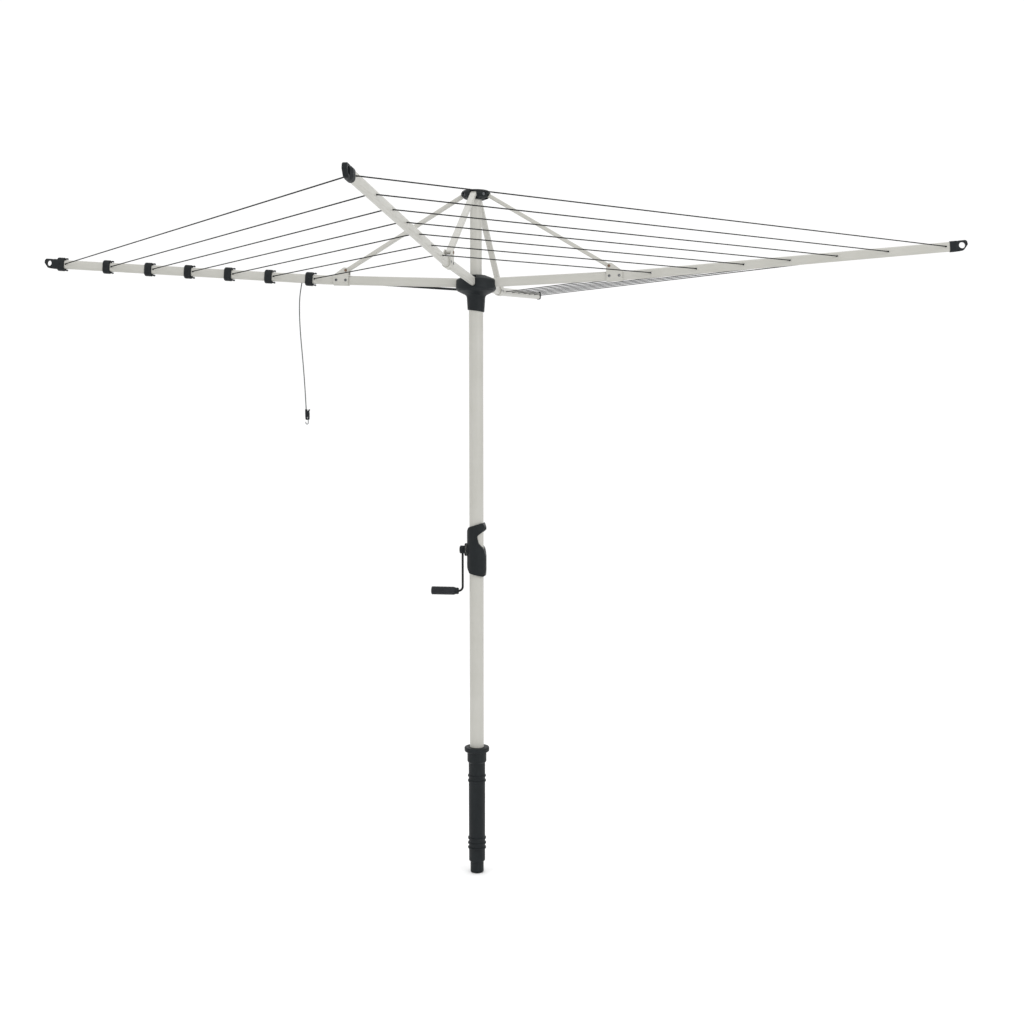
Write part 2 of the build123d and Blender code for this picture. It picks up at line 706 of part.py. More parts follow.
def bracket_frame():
    """Frame on the arm's centreline right below the strut's pin."""
    return Pos(bracket_frame_radius, 0, arm_height_at(bracket_frame_radius)) * Rot(0, -inner_slope, 0)


def make_bracket():
    """Cast saddle round the arm with two cheeks for the strut's pin."""
    length = bracket_end - bracket_start
    sleeve = Pos(bracket_start, 0, 0) * oval_bar(length, bracket_sleeve_height, 2 * bracket_half_width)
    top = bracket_pin_rise + 9.5
    side = FilletPolyline(
        (bracket_start, 0), (bracket_end, 0), (bracket_end, 16), (9, top), (bracket_start, top),
        radius=[0, 0, 6, 9, 9], close=True,
    )
    body = sleeve + extrude(Plane.XZ * make_face(side), bracket_half_width, both=True)
    gap = strut_width / 2 + slot_gap
    body -= block(2 * bracket_start, 2 * bracket_end, -gap, gap, bracket_sleeve_height / 2, 2 * top)
    body -= arm_passage(4 * bracket_end)
    body -= rod_y(bracket_pin_radius, -30, 30, 0, bracket_pin_rise)
    for place in rivet_places:
        body -= rod_y(rivet_radius + running_gap, -30, 30, place, 0)
    return bracket_frame() * body


def make_bracket_rivets():
    """Two tubular rivets through the bracket and the arm, flared at both ends."""
    rivets = []
    for place in rivet_places:
        rivet = rod_y(rivet_radius, -bracket_half_width, bracket_half_width, place, 0)
        for side in (-1, 1):
            face = side * bracket_half_width
            flare = rod_y(rivet_head_radius, face, face + side * 1.2, place, 0)
            rivet += fillet(flare.edges().sort_by(Axis.Y)[-1 if side > 0 else 0], 0.5)
        rivets.append(bracket_frame() * (rivet - rod_y(rivet_bore, -40, 40, place, 0)))
    return group(rivets)


def make_bracket_pin():
    """Headed pin that joins the strut to the bracket."""
    pin = rod_y(bracket_pin_radius, -bracket_half_width, bracket_half_width, 0, bracket_pin_rise)
    for side in (-1, 1):
        face = side * bracket_half_width
        head = rod_y(5.0, face, face + side * 2.2, 0, bracket_pin_rise)
        pin += fillet(head.edges().sort_by(Axis.Y)[-1 if side > 0 else 0], 1.2)
    return bracket_frame() * pin


def make_end_cap(start, loop_at):
    """Plastic cap over the arm's tip, drawn out into a flat hanging loop with a slanted underside."""
    tall = arm_height + 2 * cap_wall
    wide = arm_width + 2 * cap_wall
    reach = loop_at - start
    shoulder = reach - cap_shoulder
    body = oval_bar(shoulder, tall, wide)
    near = Plane.YZ.offset(shoulder) * SlotOverall(tall, wide, rotation=90)
    far = Plane.YZ.offset(shoulder + 10) * SlotOverall(tall - 2, loop_thickness, rotation=90)
    body += loft([near, far])
    low, high = 0.8 - tall / 2, tall / 2 - 0.6
    outline = FilletPolyline(
        (-12, low), (-12, high), (15.5, high), (18.5, 2.5), (4.5, low + 1.6), radius=[1, 1, 9, 6, 10], close=True
    )
    half = loop_thickness / 2
    loop = extrude(Plane.XZ * make_face(outline), half, both=True)
    loop = fillet(loop.edges().filter_by(lambda e: abs(abs(e.center().Y) - half) < 0.01), 2.5)
    body += Pos(reach, 0, 0) * loop
    body -= rod_y(loop_hole_radius, -30, 30, reach, loop_hole_rise)
    body -= arm_passage(2 * (reach - tip_gap + 0.4))
    return on_arm(start) * body


def make_clip(radius):
    """Band round the arm with a finger above and below that reach past the line on the mast side."""
    half = clip_length / 2
    band = Pos(-half, 0, 0) * oval_bar(clip_length, clip_height, clip_width)
    band = fillet(band.edges().filter_by(lambda e: abs(e.center().X - half) < 0.01), 6.0)
    band = fillet(band.edges().filter_by(lambda e: abs(e.center().X + half) < 0.01), 2.5)
    bead_x = -half - clip_finger_reach
    for side in (-1, 1):
        height = side * clip_finger_height
        band += block(bead_x, 4 - half, -5, 5, height - 1.75, height + 1.75)
        bead = rod_y(clip_finger_radius, -6, 6, bead_x, height)
        band += fillet(bead.edges().filter_by(GeomType.CIRCLE), 2.4)
        face = side * clip_width / 2
        band -= rod_y(3.2, face - side * 1.2, face + side, 0, 0)
    return on_arm(radius) * (band - arm_passage(4 * clip_length))


def make_line_clips():
    """Clips on the left arm, one for each ring but the outermost."""
    return group(
        [around(make_clip(radius + clip_offset), arm_angles["left"]) for radius in left_ring_radii[:-1]]
    )


def make_left_end_cap():
    """End cap that has the outermost ring's clip moulded on."""
    clip_at = left_ring_radii[-1] + clip_offset
    return make_end_cap(clip_at - clip_length / 2 + 1, left_reach) + make_clip(clip_at)


def radii_of(side):
    """Distances from the mast axis at which the rings pass through this arm."""
    return left_ring_radii if side == "left" else ring_radii


def neighbour(side, turn):
    """The arm a quarter turn round from this one: turn is 90 anticlockwise and -90 clockwise."""
    angle = (arm_angles[side] + turn) % 360
    return next(name for name, value in arm_angles.items() if value == angle)


def make_lines(side):
    """The line held by one arm: each ring's stretch between the two places where it is as near the next arm."""
    knee = arm_width / 2 + line_straight
    pieces = []
    for own, after, before in zip(radii_of(side), radii_of(neighbour(side, 90)), radii_of(neighbour(side, -90))):
        z = line_height(own)
        ends = []
        for other, across in ((after, 1), (before, -1)):
            here = Vector(own, across * knee, z)
            run = Vector(knee, across * other, line_height(other)) - here
            share = (own - knee) / (own + other - 2 * knee)
            ends.append(here + run * share - run.normalized() * (line_meeting_gap / 2))
        path = FilletPolyline(ends[0], (own, knee, z), (own, -knee, z), ends[1], radius=line_knee_round)
        pieces.append(round_wire(path, line_diameter / 2))
    return group([around(piece, arm_angles[side]) for piece in pieces])


# ---- struts ----------------------------------------------------------------------------------------
def make_strut():
    """Flat tube from the bracket up to the crown, plugged at both ends. Its upper hole is loose on the pin."""
    half = strut_thickness / 2
    outside = RectangleRounded(strut_width, strut_thickness, strut_corner)
    inside = RectangleRounded(
        strut_width - 2 * strut_wall, strut_thickness - 2 * strut_wall, strut_corner - strut_wall
    )
    bar = extrude(Plane.YZ.offset(-half) * outside, strut_length + 2 * half)
    bar -= extrude(Plane.YZ.offset(strut_solid) * inside, strut_length - 2 * strut_solid)
    rounded = block(0, strut_length, -strut_width, strut_width, -half, half)
    rounded += rod_y(half, -strut_width, strut_width)
    rounded += rod_y(half, -strut_width, strut_width, strut_length)
    bar &= rounded
    for place in (strut_solid + 8, strut_length - strut_solid - 8):
        bar -= Pos(place, 0, half) * Cylinder(1.5, 2 * strut_wall + 2)
    bar -= rod_y(bracket_pin_radius + running_gap, -strut_width, strut_width)
    bar -= rod_y(crown_pin_radius + open_pivot_gap, -strut_width, strut_width, strut_length)
    return Pos(bracket_pin_distance, 0, bracket_pin_height) * Rot(0, -strut_angle, 0) * bar


# ---- hanging cord ----------------------------------------------------------------------------------
cord_x = -cord_arm_distance
cord_top = arm_height_at(cord_arm_distance) - arm_height / 2
cord_route = (
    (cord_x, 0, cord_top + 3),
    (cord_x - 4.5, 0, cord_top - 20),
    (cord_x - 9, 0, cord_top - 50),
    (cord_x - 10.8, 0, cord_top - 92),
    (cord_x - 9.8, 0, cord_top - 142),
    (cord_x - 6.6, 0, cord_top - 196),
    (cord_x - 2, 0, cord_top - 250),
    (cord_x + 2.2, 0, cord_top - 304),
    (cord_x + 5.8, 0, cord_top - 358),
    (cord_x + 8.7, 0, cord_top - 412),
    (cord_x + 10.2, 0, cord_top - 446),
    (cord_x + 10.6, 0, cord_top - 470),
)
cleat_x = cord_x + 10.4
cleat_top = cord_top - 448.0
cleat_bore_offset = 4.75    # the cord's bore beside the cleat's middle
cleat_bore_gap = 0.25       # round the cord, which is not quite upright in it


def fitted_radii(points):
    """Rounding at each inner corner of a route: under half of what its shorter run can hold."""
    radii = []
    for before, corner, after in zip(points, points[1:], points[2:]):
        first = Vector(*corner) - Vector(*before)
        second = Vector(*after) - Vector(*corner)
        turn = math.radians(first.get_angle(second))
        radii.append(0.45 * min(first.length, second.length) / math.tan(turn / 2))
    return radii


def make_tie_cord():
    """Cord that hangs from the left arm."""
    radii = fitted_radii(cord_route)
    print("tie_cord corner radii", [round(radius, 1) for radius in radii])
    path = FilletPolyline(*cord_route, radius=radii)
    cord = sweep(Plane(path @ 0, x_dir=(0, 1, 0), z_dir=path % 0) * Circle(cord_diameter / 2), path=path)
    expected = path.length * math.pi * (cord_diameter / 2) ** 2
    print("tie_cord length", round(path.length, 1), "volume over section times length", cord.volume / expected)
    return cord


def cord_hole():
    """Hole in the underside of the left arm that the cord comes out of."""
    return Pos(cord_x, 0, cord_top) * Cylinder(cord_diameter / 2 + 1.2, 2 * arm_wall + 2)


def make_cord_cleat():
    """Small plastic cleat with a V notch on top; the cord ends in its left prong."""
    outline = FilletPolyline(
        (-7.8, 0), (-7.6, -26), (-6.5, -38), (6.5, -38), (7, -16), (6, -9), (9, 0), (6, 0), (0.5, -10), (-1.7, 0),
        radius=[0.5, 5, 4, 4, 5, 3, 1.5, 1, 1, 0.5], close=True,
    )
    body = extrude(Plane.XZ * make_face(outline), 4.5, both=True)
    body = chamfer(body.edges().filter_by(lambda e: abs(abs(e.center().Y) - 4.5) < 0.01), 0.4)
    body -= rod_y(3.2, -10, 10, 0, -30)
    body = Pos(cleat_x + cleat_bore_offset, 0, cleat_top) * body
    return body - Pos(cleat_x, 0, cleat_top) * Cylinder(cord_diameter / 2 + cleat_bore_gap, 50)


def make_cord_hook():
    """Wire hook that hangs in the cleat's hole."""
    x, z = cleat_x + cleat_bore_offset, cleat_top - 30
    path = FilletPolyline(
        (x, -1.5, z), (x, 7.2, z), (x, 7.2, z - 23), (x - 9, 7.2, z - 23), (x - 9, 7.2, z - 15),
        radius=[2.2, 4.4, 4.4],
    )
    return round_wire(path, 1.5)


# ---- write every node ------------------------------------------------------------------------------
def main():
    os.makedirs("parts", exist_ok=True)
    print("fold: strut", round(strut_length, 3), "lift", round(lift_travel, 3))
    print("bracket pin height", round(bracket_pin_height, 3), "folded crown", round(folded_crown_z, 3))
    print("strut angles", round(strut_angle, 3), round(folded_strut_angle, 3))
    print("inner tube bottom", round(inner_tube_bottom, 2))

    save(make_ground_socket(), "ground_socket")
    save(make_thrust_pad(), "thrust_pad")
    save(make_mast_tube(), "mast_tube")
    save(make_mast_foot(), "mast_foot")
    save(make_arm_hub(), "arm_hub")
    save(make_pin_plugs(), "pin_plugs")
    save(make_hub_screws(), "hub_screws")
    save(make_arm_pivot_pins(), "arm_pivot_pins")
    save(make_top_bush(), "top_bush")

    save(make_housing(-1), "housing_front")
    save(make_housing(1), "housing_rear")
    save(make_housing_screws(), "housing_screws")
    save(make_crank_bushes(), "crank_bushes")
    save(make_brake_washer(), "brake_washer")

    save(make_inner_tube(), "inner_tube")
    save(make_carrier_plug(), "carrier_plug")
    save(make_lift_rack(), "lift_rack")
    save(make_crown(), "crown")
    save(make_crown_cap(), "crown_cap")
    save(make_crown_pins(), "crown_pins")
    save(make_crown_screws(), "crown_screws")

    save(make_crank_shaft(), "crank_shaft")
    save(make_drive_pinion(), "drive_pinion")
    save(make_crank_boss(), "crank_boss")
    save(make_crank_rod(), "crank_rod")
    save(make_crank_grip(), "crank_grip")
    save(make_grip_ferrule(), "grip_ferrule")
    save(make_grip_pin(), "grip_pin")

    tube = make_arm_tube(ring_radii, arm_reach - tip_gap)
    left_tube = make_arm_tube(left_ring_radii, left_reach - tip_gap)
    cap = make_end_cap(arm_reach - cap_length, arm_reach)
    bracket, rivets, pin, strut = make_bracket(), make_bracket_rivets(), make_bracket_pin(), make_strut()
    for side, angle in arm_angles.items():
        left = side == "left"
        arm = around(left_tube if left else tube, angle)
        save(arm - cord_hole() if left else arm, f"arm_{side}_tube")
        save(around(make_left_end_cap() if left else cap, angle), f"arm_{side}_cap")
        save(around(bracket, angle), f"arm_{side}_bracket")
        save(group([around(rivets, angle)]), f"arm_{side}_rivets")
        save(around(pin, angle), f"arm_{side}_bracket_pin")
        save(make_lines(side), f"lines_{side}")
        save(around(strut, angle), f"strut_{side}")
    save(make_line_clips(), "line_clips")

    save(make_tie_cord(), "tie_cord")
    save(make_cord_cleat(), "cord_cleat")
    save(make_cord_hook(), "cord_hook")


main()
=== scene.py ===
"""Looks of the rotary clothesline: finishes of the metal and plastic pieces, ring lines, hanging cord."""

import json
import math

import bpy
import numpy as np
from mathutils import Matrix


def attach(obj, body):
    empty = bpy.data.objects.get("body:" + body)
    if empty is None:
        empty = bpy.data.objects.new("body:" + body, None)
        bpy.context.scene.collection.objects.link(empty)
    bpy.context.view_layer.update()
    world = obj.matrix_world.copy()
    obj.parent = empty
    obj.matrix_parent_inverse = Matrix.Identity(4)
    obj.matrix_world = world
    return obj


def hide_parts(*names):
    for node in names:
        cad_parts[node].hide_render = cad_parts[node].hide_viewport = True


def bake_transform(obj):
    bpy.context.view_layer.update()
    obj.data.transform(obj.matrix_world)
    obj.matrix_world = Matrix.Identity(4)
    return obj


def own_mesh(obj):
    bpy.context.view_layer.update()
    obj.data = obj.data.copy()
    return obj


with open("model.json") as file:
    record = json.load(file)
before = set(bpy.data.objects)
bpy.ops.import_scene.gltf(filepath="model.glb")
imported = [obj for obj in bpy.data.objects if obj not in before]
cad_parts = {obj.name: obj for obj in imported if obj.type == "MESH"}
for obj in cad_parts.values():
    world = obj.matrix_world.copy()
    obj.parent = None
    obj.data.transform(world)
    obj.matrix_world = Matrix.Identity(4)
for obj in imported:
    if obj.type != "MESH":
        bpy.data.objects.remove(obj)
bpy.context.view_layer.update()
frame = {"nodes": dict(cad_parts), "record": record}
nodes = frame["nodes"]
MM = 0.001

# ---- sizes of the object, in metres, as in the CAD part ---------------------------------------------
PIVOT_RADIUS = 0.058
PIVOT_HEIGHT = 1.643
BEND_RADIUS = 0.545
INNER_SLOPE = math.tan(math.radians(2.12))
OUTER_SLOPE = math.tan(math.radians(4.12))
LINE_RISE = 0.001
LINE_DIAMETER = 0.004
LINE_KNEE = 0.013               # where a line turns, beside the arm it comes out of
LINE_KNEE_ROUND = 0.008
ROUTE_SPACING = 0.003           # between the points of a straight run
RINGS = (0.608, 0.762, 0.920, 1.073, 1.227, 1.392, 1.576)                   # line holes, from the mast axis
LEFT_RINGS = (0.582, 0.733, 0.884, 1.035, 1.186, 1.346, 1.523)              # the left arm holds the rings in
ARMS = {"right": 0, "back": 90, "left": 180, "front": 270}


def arm_height(radius):
    """Height of the arm's centreline at this distance from the mast axis."""
    inside = min(radius, BEND_RADIUS) - PIVOT_RADIUS
    outside = max(radius - BEND_RADIUS, 0)
    return PIVOT_HEIGHT + inside * INNER_SLOPE + outside * OUTER_SLOPE


# ---- materials ---------------------------------------------------------------------------------------
def linear(hex_colour):
    """sRGB hex to linear RGBA: the standard curve, channel by channel."""
    channels = [int(hex_colour[i:i + 2], 16) / 255 for i in (1, 3, 5)]
    return tuple(c / 12.92 if c <= 0.04045 else ((c + 0.055) / 1.055) ** 2.4 for c in channels) + (1,)


def add(tree, kind, links=None, **settings):
    """Adds one node: properties and socket values come from settings, and links go from output to socket."""
    node = tree.nodes.new(kind)
    for key, value in settings.items():
        if hasattr(node, key):
            setattr(node, key, value)
        else:
            node.inputs[key.replace("_", " ")].default_value = value
    for socket, output in (links or {}).items():
        tree.links.new(output, node.inputs[socket])
    return node


def new_material(name):
    """Empty node material with a Principled shader wired to the output."""
    material = bpy.data.materials.new(name)
    material.use_nodes = True
    tree = material.node_tree
    return material, tree, tree.nodes["Principled BSDF"]


def per_metre(size_mm):
    """Scale of a pattern whose features are this many millimetres across."""
    return 1 / (size_mm * MM)


def mottled(tree, coordinates, first, second, size_mm, low, high):
    """Colour that drifts between two shades in soft clouds of this size."""
    scale = per_metre(size_mm)
    noise = add(tree, "ShaderNodeTexNoise", {"Vector": coordinates}, Scale=scale, Detail=4.0, Roughness=0.55)
    ramp = add(tree, "ShaderNodeValToRGB", {"Fac": noise.outputs["Fac"]})
    ramp.color_ramp.elements[0].position, ramp.color_ramp.elements[1].position = low, high
    ramp.color_ramp.elements[0].color, ramp.color_ramp.elements[1].color = linear(first), linear(second)
    return ramp.outputs["Color"]


def rough_range(tree, coordinates, size_mm, low, high):
    """Roughness that varies between low and high in patches of this size."""
    noise = add(tree, "ShaderNodeTexNoise", {"Vector": coordinates}, Scale=per_metre(size_mm), Detail=3.0)
    spread = add(tree, "ShaderNodeMapRange", {"Value": noise.outputs["Fac"]}, To_Min=low, To_Max=high)
    return spread.outputs[0]


def powder_coat(name, first, second, grain_mm, roughness, shine=0.5):
    """Powder-coated metal: a satin skin with orange peel about a millimetre across and a faint warm drift."""
    material, tree, shader = new_material(name)
    place = add(tree, "ShaderNodeTexCoord").outputs["Object"]
    tree.links.new(mottled(tree, place, first, second, 111, 0.35, 0.65), shader.inputs["Base Color"])
    worn = rough_range(tree, place, 16.7, roughness - 0.05, roughness + 0.06)
    tree.links.new(worn, shader.inputs["Roughness"])
    peel = add(tree, "ShaderNodeTexNoise", {"Vector": place}, Scale=per_metre(grain_mm), Detail=2.0)
    bump = add(tree, "ShaderNodeBump", {"Height": peel.outputs["Fac"]}, Strength=0.12, Distance=0.0003)
    tree.links.new(bump.outputs["Normal"], shader.inputs["Normal"])
    shader.inputs["Specular IOR Level"].default_value = shine
    shader.inputs["Coat Weight"].default_value = 0.3 * shine
    shader.inputs["Coat Roughness"].default_value = 0.25
    return material


def moulded_plastic(name, first, second, grain_mm, roughness):
    """Injection-moulded plastic: a fine spark-eroded grain, and patches where handling has polished it."""
    material, tree, shader = new_material(name)
    place = add(tree, "ShaderNodeTexCoord").outputs["Object"]
    tree.links.new(mottled(tree, place, first, second, 35.7, 0.3, 0.7), shader.inputs["Base Color"])
    handled = rough_range(tree, place, 22.2, roughness - 0.08, roughness + 0.1)
    tree.links.new(handled, shader.inputs["Roughness"])
    scale = per_metre(grain_mm)
    grain = add(tree, "ShaderNodeTexVoronoi", {"Vector": place}, Scale=scale, feature="SMOOTH_F1")
    bump = add(tree, "ShaderNodeBump", {"Height": grain.outputs["Distance"]}, Strength=0.25, Distance=0.0002)
    tree.links.new(bump.outputs["Normal"], shader.inputs["Normal"])
    shader.inputs["Specular IOR Level"].default_value = 0.17
    return material


def plated_steel(name, first, second, roughness):
    """Zinc-plated steel: grey metal with fine drawing marks and cloudy roughness."""
    material, tree, shader = new_material(name)
    place = add(tree, "ShaderNodeTexCoord").outputs["Object"]
    tree.links.new(mottled(tree, place, first, second, 8.33, 0.3, 0.7), shader.inputs["Base Color"])
    cloudy = rough_range(tree, place, 4, roughness - 0.07, roughness + 0.1)
    tree.links.new(cloudy, shader.inputs["Roughness"])
    marks = add(tree, "ShaderNodeTexNoise", {"Vector": place}, Scale=per_metre(0.667), Detail=2.0)
    bump = add(tree, "ShaderNodeBump", {"Height": marks.outputs["Fac"]}, Strength=0.08, Distance=0.0002)
    tree.links.new(bump.outputs["Normal"], shader.inputs["Normal"])
    shader.inputs["Metallic"].default_value = 1.0
    return material


TUBE_COAT = powder_coat("tube_powder_coat", "#AFAEA8", "#AAA9A2", 1.1, 0.42)
CASTING_COAT = powder_coat("bracket_casting_coat", "#B1B0AA", "#A8A7A0", 1.6, 0.5)
ROD_COAT = powder_coat("crank_rod_coat", "#101213", "#0C0E0F", 1.1, 0.4, shine=0.15)
BLACK_NYLON = moulded_plastic("black_nylon", "#1A1E20", "#14181A", 1.2, 0.5)
GRIP_RUBBER = moulded_plastic("grip_soft_plastic", "#26282B", "#1F2123", 1.5, 0.62)
WHITE_ACETAL = moulded_plastic("natural_acetal", "#DAD8CF", "#D0CDC2", 1.5, 0.4)
# Zinc grey kept dark: partly the plating's own tone, partly painted shade for the shade inside the rivets'
# bores.
ZINC_STEEL_AND_BORE_SHADE = plated_steel("zinc_steel", "#75777A", "#5B5D60", 0.35)
YELLOW_ZINC = plated_steel("yellow_zinc_steel", "#7C6656", "#67564A", 0.4)

FINISH = {
    "grey_tube": TUBE_COAT,
    "grey_casting": CASTING_COAT,
    "black_steel": ROD_COAT,
    "black_plastic": BLACK_NYLON,
    "grip_plastic": GRIP_RUBBER,
    "natural_plastic": WHITE_ACETAL,
    "zinc_steel": ZINC_STEEL_AND_BORE_SHADE,
    "yellow_zinc": YELLOW_ZINC,
}
for part in frame["record"]["subparts"]:
    finish = FINISH.get(part["material_slot"])
    if finish:
        for material_slot in nodes[part["node"]].material_slots:
            material_slot.material = finish


# ---- lines -------------------------------------------------------------------------------------------
def mesh_object(name, points, faces):
    """Smooth-shaded mesh piece at the origin from an array of points and a list of faces."""
    mesh = bpy.data.meshes.new(name)
    mesh.from_pydata(points.tolist(), [], faces)
    mesh.polygons.foreach_set("use_smooth", np.ones(len(mesh.polygons), bool))
    mesh.update()
    piece = bpy.data.objects.new(name, mesh)
    bpy.context.scene.collection.objects.link(piece)
    return piece


def carried_profile(name, path, radius_at, sides, turn_at):
    """Closed tube: at every path point a ring of `sides` points, its radius from radius_at(angle, distance),
    turned by turn_at(distance); rings stand square to the path and both ends are closed by a fan."""
    steps = np.diff(path, axis=0)
    along = np.concatenate([[0], np.cumsum(np.linalg.norm(steps, axis=1))])[:, None]
    tangent = np.gradient(path, axis=0)
    tangent /= np.linalg.norm(tangent, axis=1)[:, None]
    up = np.array([0.0, 1.0, 0.0]) if abs(tangent[:, 2]).mean() > 0.7 else np.array([0.0, 0.0, 1.0])
    side = np.cross(tangent, up)
    side /= np.linalg.norm(side, axis=1)[:, None]
    over = np.cross(side, tangent)
    angle = np.linspace(0, 2 * np.pi, sides, endpoint=False)[None, :]
    turned = angle + turn_at(along)
    ring = radius_at(angle, along)[..., None] * (
        np.cos(turned)[..., None] * side[:, None, :] + np.sin(turned)[..., None] * over[:, None, :]
    )
    count = len(path)
    points = np.vstack([(path[:, None, :] + ring).reshape(-1, 3), path[0], path[-1]])
    i, j = np.meshgrid(np.arange(count - 1), np.arange(sides), indexing="ij")
    a = i * sides + j
    b = i * sides + (j + 1) % sides
    walls = np.stack([a, b, b + sides, a + sides], axis=-1).reshape(-1, 4)
    k = np.arange(sides)
    after = (k + 1) % sides
    base = (count - 1) * sides
    near_end = np.stack([k, np.full(sides, count * sides), after], axis=1)
    far_end = np.stack([base + k, base + after, np.full(sides, count * sides + 1)], axis=1)
    return mesh_object(name, points, walls.tolist() + near_end.tolist() + far_end.tolist())


def ring_distances(arm):
    """Distances from the mast axis at which the rings pass through this arm."""
    return LEFT_RINGS if arm == "left" else RINGS


def neighbour(arm, quarter):
    """The arm a quarter turn round from this one: quarter is 90 anticlockwise and -90 clockwise."""
    return next(name for name, degrees in ARMS.items() if degrees == (ARMS[arm] + quarter) % 360)


def meeting_point(own, other, across):
    """Where a line between two arms passes from one arm's share to the other's: the point of its straight run
    that is as far out along one arm as along the other. across is the side of the arm, 1 or -1."""
    share = (own - LINE_KNEE) / (own + other - 2 * LINE_KNEE)
    out = own - share * (own - LINE_KNEE)
    start, end = arm_height(own) + LINE_RISE, arm_height(other) + LINE_RISE
    return np.array([out, across * out, start + share * (end - start)])


def line_route(own, after, before):
    """Centreline of one arm's share of a ring, on the +X arm: from the meeting point on its left, round the
    knee beside the arm, straight through the arm, round the other knee and on to the meeting point on its
    right. Each knee is a quadratic arc, and each straight is a row of evenly spaced points."""
    z = arm_height(own) + LINE_RISE
    knees = [np.array([own, LINE_KNEE, z]), np.array([own, -LINE_KNEE, z])]
    corners = [meeting_point(own, after, 1), *knees, meeting_point(own, before, -1)]
    cut = LINE_KNEE_ROUND * math.tan(math.pi / 8)
    route = [corners[0][None, :]]
    for before_knee, knee, after_knee in zip(corners, corners[1:], corners[2:]):
        entry = knee + (before_knee - knee) / np.linalg.norm(before_knee - knee) * cut
        leave = knee + (after_knee - knee) / np.linalg.norm(after_knee - knee) * cut
        steps = max(int(np.linalg.norm(entry - route[-1][-1]) / ROUTE_SPACING), 2)
        route.append(route[-1][-1] + (entry - route[-1][-1]) * np.linspace(0, 1, steps)[1:, None])
        share = np.linspace(0, 1, 6)[1:, None]
        route.append((1 - share) ** 2 * entry + 2 * share * (1 - share) * knee + share**2 * leave)
    last = route[-1][-1]
    steps = int(np.linalg.norm(corners[-1] - last) / ROUTE_SPACING)
    route.append(last + (corners[-1] - last) * np.linspace(0, 1, steps)[1:, None])
    return np.vstack(route)


LAY_LENGTH = 0.018      # one turn of the line's three strands


def three_strands(angle, along):
    """Radius of a three-strand line: a rounded three-lobed section, 14% of the radius deep at the grooves."""
    return LINE_DIAMETER / 2 * (0.93 + 0.07 * np.cos(3 * angle)) + 0 * along


def line_twist(along):
    """Turn of the strands: once round in each lay length."""
    return 2 * np.pi * along / LAY_LENGTH


def make_line_material():
    """PVC-coated polyester line, twisted: dark grey, satin, slightly lighter where it is worn."""
    material, tree, shader = new_material("coated_line")
    place = add(tree, "ShaderNodeTexCoord").outputs["Object"]
    tree.links.new(mottled(tree, place, "#141618", "#0D0F10", 25, 0.3, 0.7), shader.inputs["Base Color"])
    tree.links.new(rough_range(tree, place, 2.5, 0.42, 0.6), shader.inputs["Roughness"])
    shader.inputs["Specular IOR Level"].default_value = 0.2
    grain = add(tree, "ShaderNodeTexNoise", {"Vector": place}, Scale=per_metre(0.4), Detail=2.0)
    bump = add(tree, "ShaderNodeBump", {"Height": grain.outputs["Fac"]}, Strength=0.2, Distance=0.0002)
    tree.links.new(bump.outputs["Normal"], shader.inputs["Normal"])
    return material


COATED_LINE = make_line_material()
for arm, degrees in ARMS.items():
    turn = math.radians(degrees)
    cos_turn, sin_turn = round(math.cos(turn)), round(math.sin(turn))
    to_arm = np.array([[cos_turn, -sin_turn, 0], [sin_turn, cos_turn, 0], [0, 0, 1]], float)
    held = zip(ring_distances(arm), ring_distances(neighbour(arm, 90)), ring_distances(neighbour(arm, -90)))
    for number, (own, after, before) in enumerate(held, 1):
        route = line_route(own, after, before)
        line = carried_profile(f"line_{arm}_{number}", route @ to_arm.T, three_strands, 9, line_twist)
        line.data.materials.append(COATED_LINE)
        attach(line, f"{arm}_arm")
        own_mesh(line)
        if number == 1:
            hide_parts(f"lines_{arm}")

# ---- hanging cord ------------------------------------------------------------------------------------
CORD_DIAMETER = 0.0042
cord_x = -0.630
cord_top = arm_height(0.630) - 0.016
CORD_ROUTE = (
    (cord_x, 0, cord_top + 0.003),
    (cord_x - 0.0045, 0, cord_top - 0.020),
    (cord_x - 0.009, 0, cord_top - 0.050),
    (cord_x - 0.0108, 0, cord_top - 0.092),
    (cord_x - 0.0098, 0, cord_top - 0.142),
    (cord_x - 0.0066, 0, cord_top - 0.196),
    (cord_x - 0.002, 0, cord_top - 0.250),
    (cord_x + 0.0022, 0, cord_top - 0.304),
    (cord_x + 0.0058, 0, cord_top - 0.358),
    (cord_x + 0.0087, 0, cord_top - 0.412),
    (cord_x + 0.0102, 0, cord_top - 0.446),
    (cord_x + 0.0106, 0, cord_top - 0.470),
)


def nurbs_points(name, route):
    """The route's smooth line, as the points of a NURBS spline that has the route as control points."""
    curve = bpy.data.curves.new(name, "CURVE")
    curve.dimensions = "3D"
    curve.resolution_u = 24
    spline = curve.splines.new("NURBS")
    spline.points.add(len(route) - 1)
    for point, place in zip(spline.points, route):
        point.co = (*place, 1)
    spline.order_u = 3
    spline.use_endpoint_u = True
    holder = bpy.data.objects.new(name, curve)
    mesh = bpy.data.meshes.new_from_object(holder)
    points = np.array([v.co for v in mesh.vertices], float)
    bpy.data.objects.remove(holder)
    bpy.data.curves.remove(curve)
    bpy.data.meshes.remove(mesh)
    return points


def braided(angle, along):
    """Radius of a braid: eight strands each way, crossing every 2.4 mm, 6% of the radius deep."""
    wave = np.cos(4 * angle + 2 * np.pi * along / 0.0048) * np.cos(4 * angle - 2 * np.pi * along / 0.0048)
    return CORD_DIAMETER / 2 * (0.95 + 0.05 * wave)


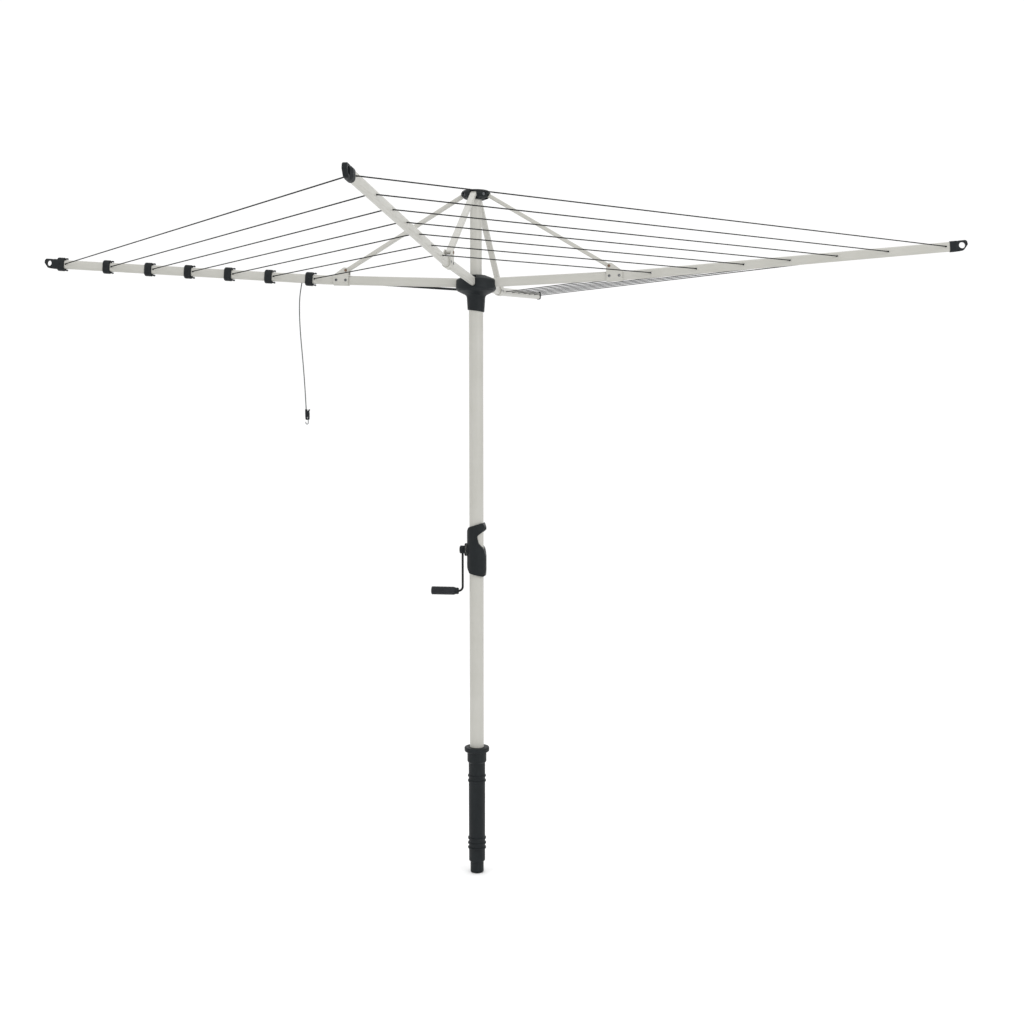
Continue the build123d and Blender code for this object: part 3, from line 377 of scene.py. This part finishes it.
def make_cord_material():
    """Braided polypropylene cord: mid-grey, dry sheen, with darker specks scattered at random:
    painted shade standing in for the gaps between the strands.
    """
    material, tree, shader = new_material("braided_cord")
    place = add(tree, "ShaderNodeTexCoord").outputs["Object"]
    # darker specks: painted shade for the gaps between the strands, placed at random by noise
    tree.links.new(mottled(tree, place, "#66696A", "#3F4244", 1.667, 0.35, 0.65), shader.inputs["Base Color"])
    tree.links.new(rough_range(tree, place, 2, 0.6, 0.8), shader.inputs["Roughness"])
    shader.inputs["Sheen Weight"].default_value = 0.2
    return material


cord_path = nurbs_points("cord_route", CORD_ROUTE)
tie_cord = carried_profile("tie_cord_braid", cord_path, braided, 16, lambda along: 0 * along)
tie_cord.data.materials.append(make_cord_material())
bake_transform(tie_cord)
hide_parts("tie_cord")

# ---- floor, light and camera -------------------------------------------------------------------------
FLOOR_HEIGHT = -0.458
CAMERA_DISTANCE = 4.705
CAMERA_HEIGHT = 1.185
CAMERA_TURN = math.radians(10.47)
CAMERA_PAN = math.radians(1.53)
CAMERA_DIP = math.radians(4.185)


def make_floor():
    """Studio sweep: flat floor that curves up into a wall behind, in a quarter circle."""
    depth = np.concatenate([np.linspace(-14, 10, 2), 10 + 4 * np.sin(np.linspace(0.1, np.pi / 2, 24)), [14]])
    height = np.concatenate([np.zeros(2), 4 * (1 - np.cos(np.linspace(0.1, np.pi / 2, 24))), [12]])
    width = np.linspace(-16, 16, 3)
    x, y = np.meshgrid(width, depth)
    z = np.broadcast_to(height[:, None], x.shape) + FLOOR_HEIGHT
    rows, columns = x.shape
    i, j = np.meshgrid(np.arange(rows - 1), np.arange(columns - 1), indexing="ij")
    a = (i * columns + j).ravel()
    faces = np.stack([a, a + 1, a + columns + 1, a + columns], axis=1)
    floor = mesh_object("studio_floor", np.column_stack([x.ravel(), y.ravel(), z.ravel()]), faces.tolist())
    material, tree, shader = new_material("studio_paper")
    place = add(tree, "ShaderNodeTexCoord").outputs["Object"]
    tree.links.new(mottled(tree, place, "#FCFCFC", "#FAFAFA", 1000, 0.3, 0.7), shader.inputs["Base Color"])
    shader.inputs["Roughness"].default_value = 0.95
    shader.inputs["Specular IOR Level"].default_value = 0.1
    floor.data.materials.append(material)


def add_light(name, place, target, size, watts):
    """Square soft box of this size that faces the target."""
    light = bpy.data.lights.new(name, "AREA")
    light.shape = "SQUARE"
    light.size = size
    light.energy = watts
    lamp = bpy.data.objects.new(name, light)
    bpy.context.scene.collection.objects.link(lamp)
    x, y, z = (t - p for t, p in zip(target, place))
    lamp.location = place
    lamp.rotation_euler = (math.atan2(math.hypot(x, y), -z), 0, math.atan2(y, x) - math.pi / 2)


def add_camera():
    """Camera a little to the right of the front arm, at chest height, looking slightly down."""
    camera = bpy.data.cameras.new("camera")
    camera.lens = 46.93
    camera.sensor_width = 36
    holder = bpy.data.objects.new("camera", camera)
    bpy.context.scene.collection.objects.link(holder)
    x, y = CAMERA_DISTANCE * math.sin(CAMERA_TURN), -CAMERA_DISTANCE * math.cos(CAMERA_TURN)
    holder.location = (x, y, CAMERA_HEIGHT)
    holder.rotation_euler = (math.pi / 2 - CAMERA_DIP, 0, CAMERA_TURN - CAMERA_PAN)
    bpy.context.scene.camera = holder


make_floor()
world = bpy.data.worlds.new("studio")
world.use_nodes = True
world.node_tree.nodes["Background"].inputs["Color"].default_value = (1, 1, 1, 1)
world.node_tree.nodes["Background"].inputs["Strength"].default_value = 1.06
bpy.context.scene.world = world
bpy.context.scene.view_settings.view_transform = "Standard"
CENTRE = (0, 0, 1.2)
add_light("key_light", (4.5, -3.5, 3.0), CENTRE, 3.0, 75)
add_light("fill_light", (-3.5, -4.5, 4.0), CENTRE, 3.0, 45)
add_light("top_light", (0, 1.0, 5.5), CENTRE, 4.0, 30)
add_camera()
